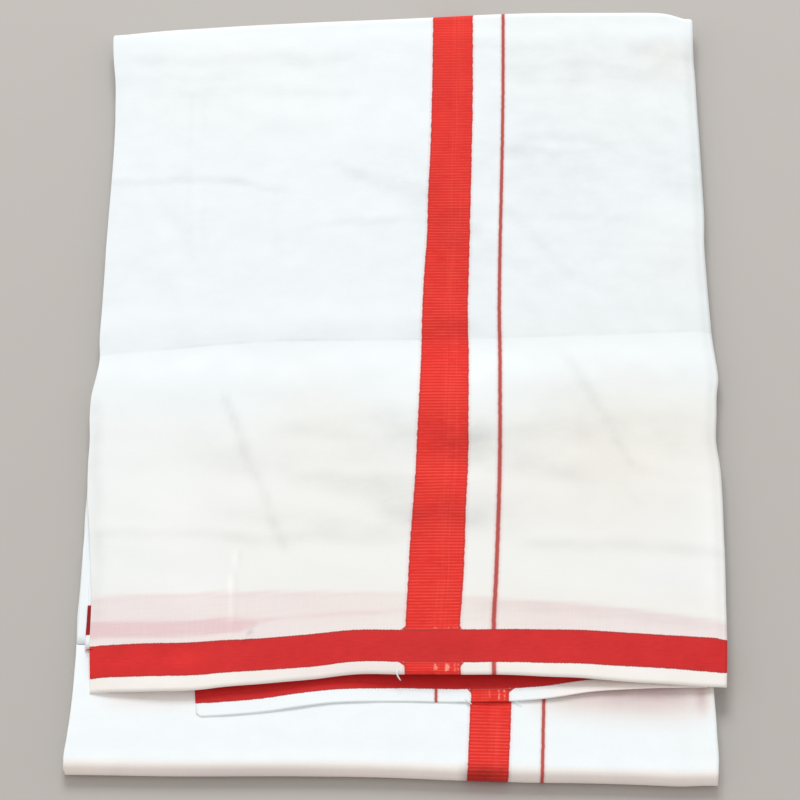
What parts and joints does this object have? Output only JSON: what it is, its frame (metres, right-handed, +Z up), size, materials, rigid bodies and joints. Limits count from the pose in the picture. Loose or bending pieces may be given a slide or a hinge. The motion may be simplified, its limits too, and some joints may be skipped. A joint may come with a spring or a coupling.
{
  "type": "folded dhoti cloth",
  "caption": "White cotton dhoti cloth with woven red borders and stripes, pleated into panels, folded across and laid flat.",
  "frame": {"origin": "on the surface the cloth rests on, under the middle of the folded cloth's box", "axes": "+Y from the rounded front fold to the back fold, +X across the panel to the right, +Z up"},
  "size_m": [0.4115, 0.6192, 0.019],
  "materials": {
    "white_cotton": "plain woven bleached cotton, soft and matte, with woven red borders and ribbed red stripes",
    "folded_cotton": "edges of the same cotton where its pleats lie on each other"
  },
  "bodies": {
    "root": {"upper_leaf": "white_cotton", "second_leaf": "white_cotton", "lower_leaf": "white_cotton", "inner_layers": "folded_cotton"}
  },
  "joints": []
}
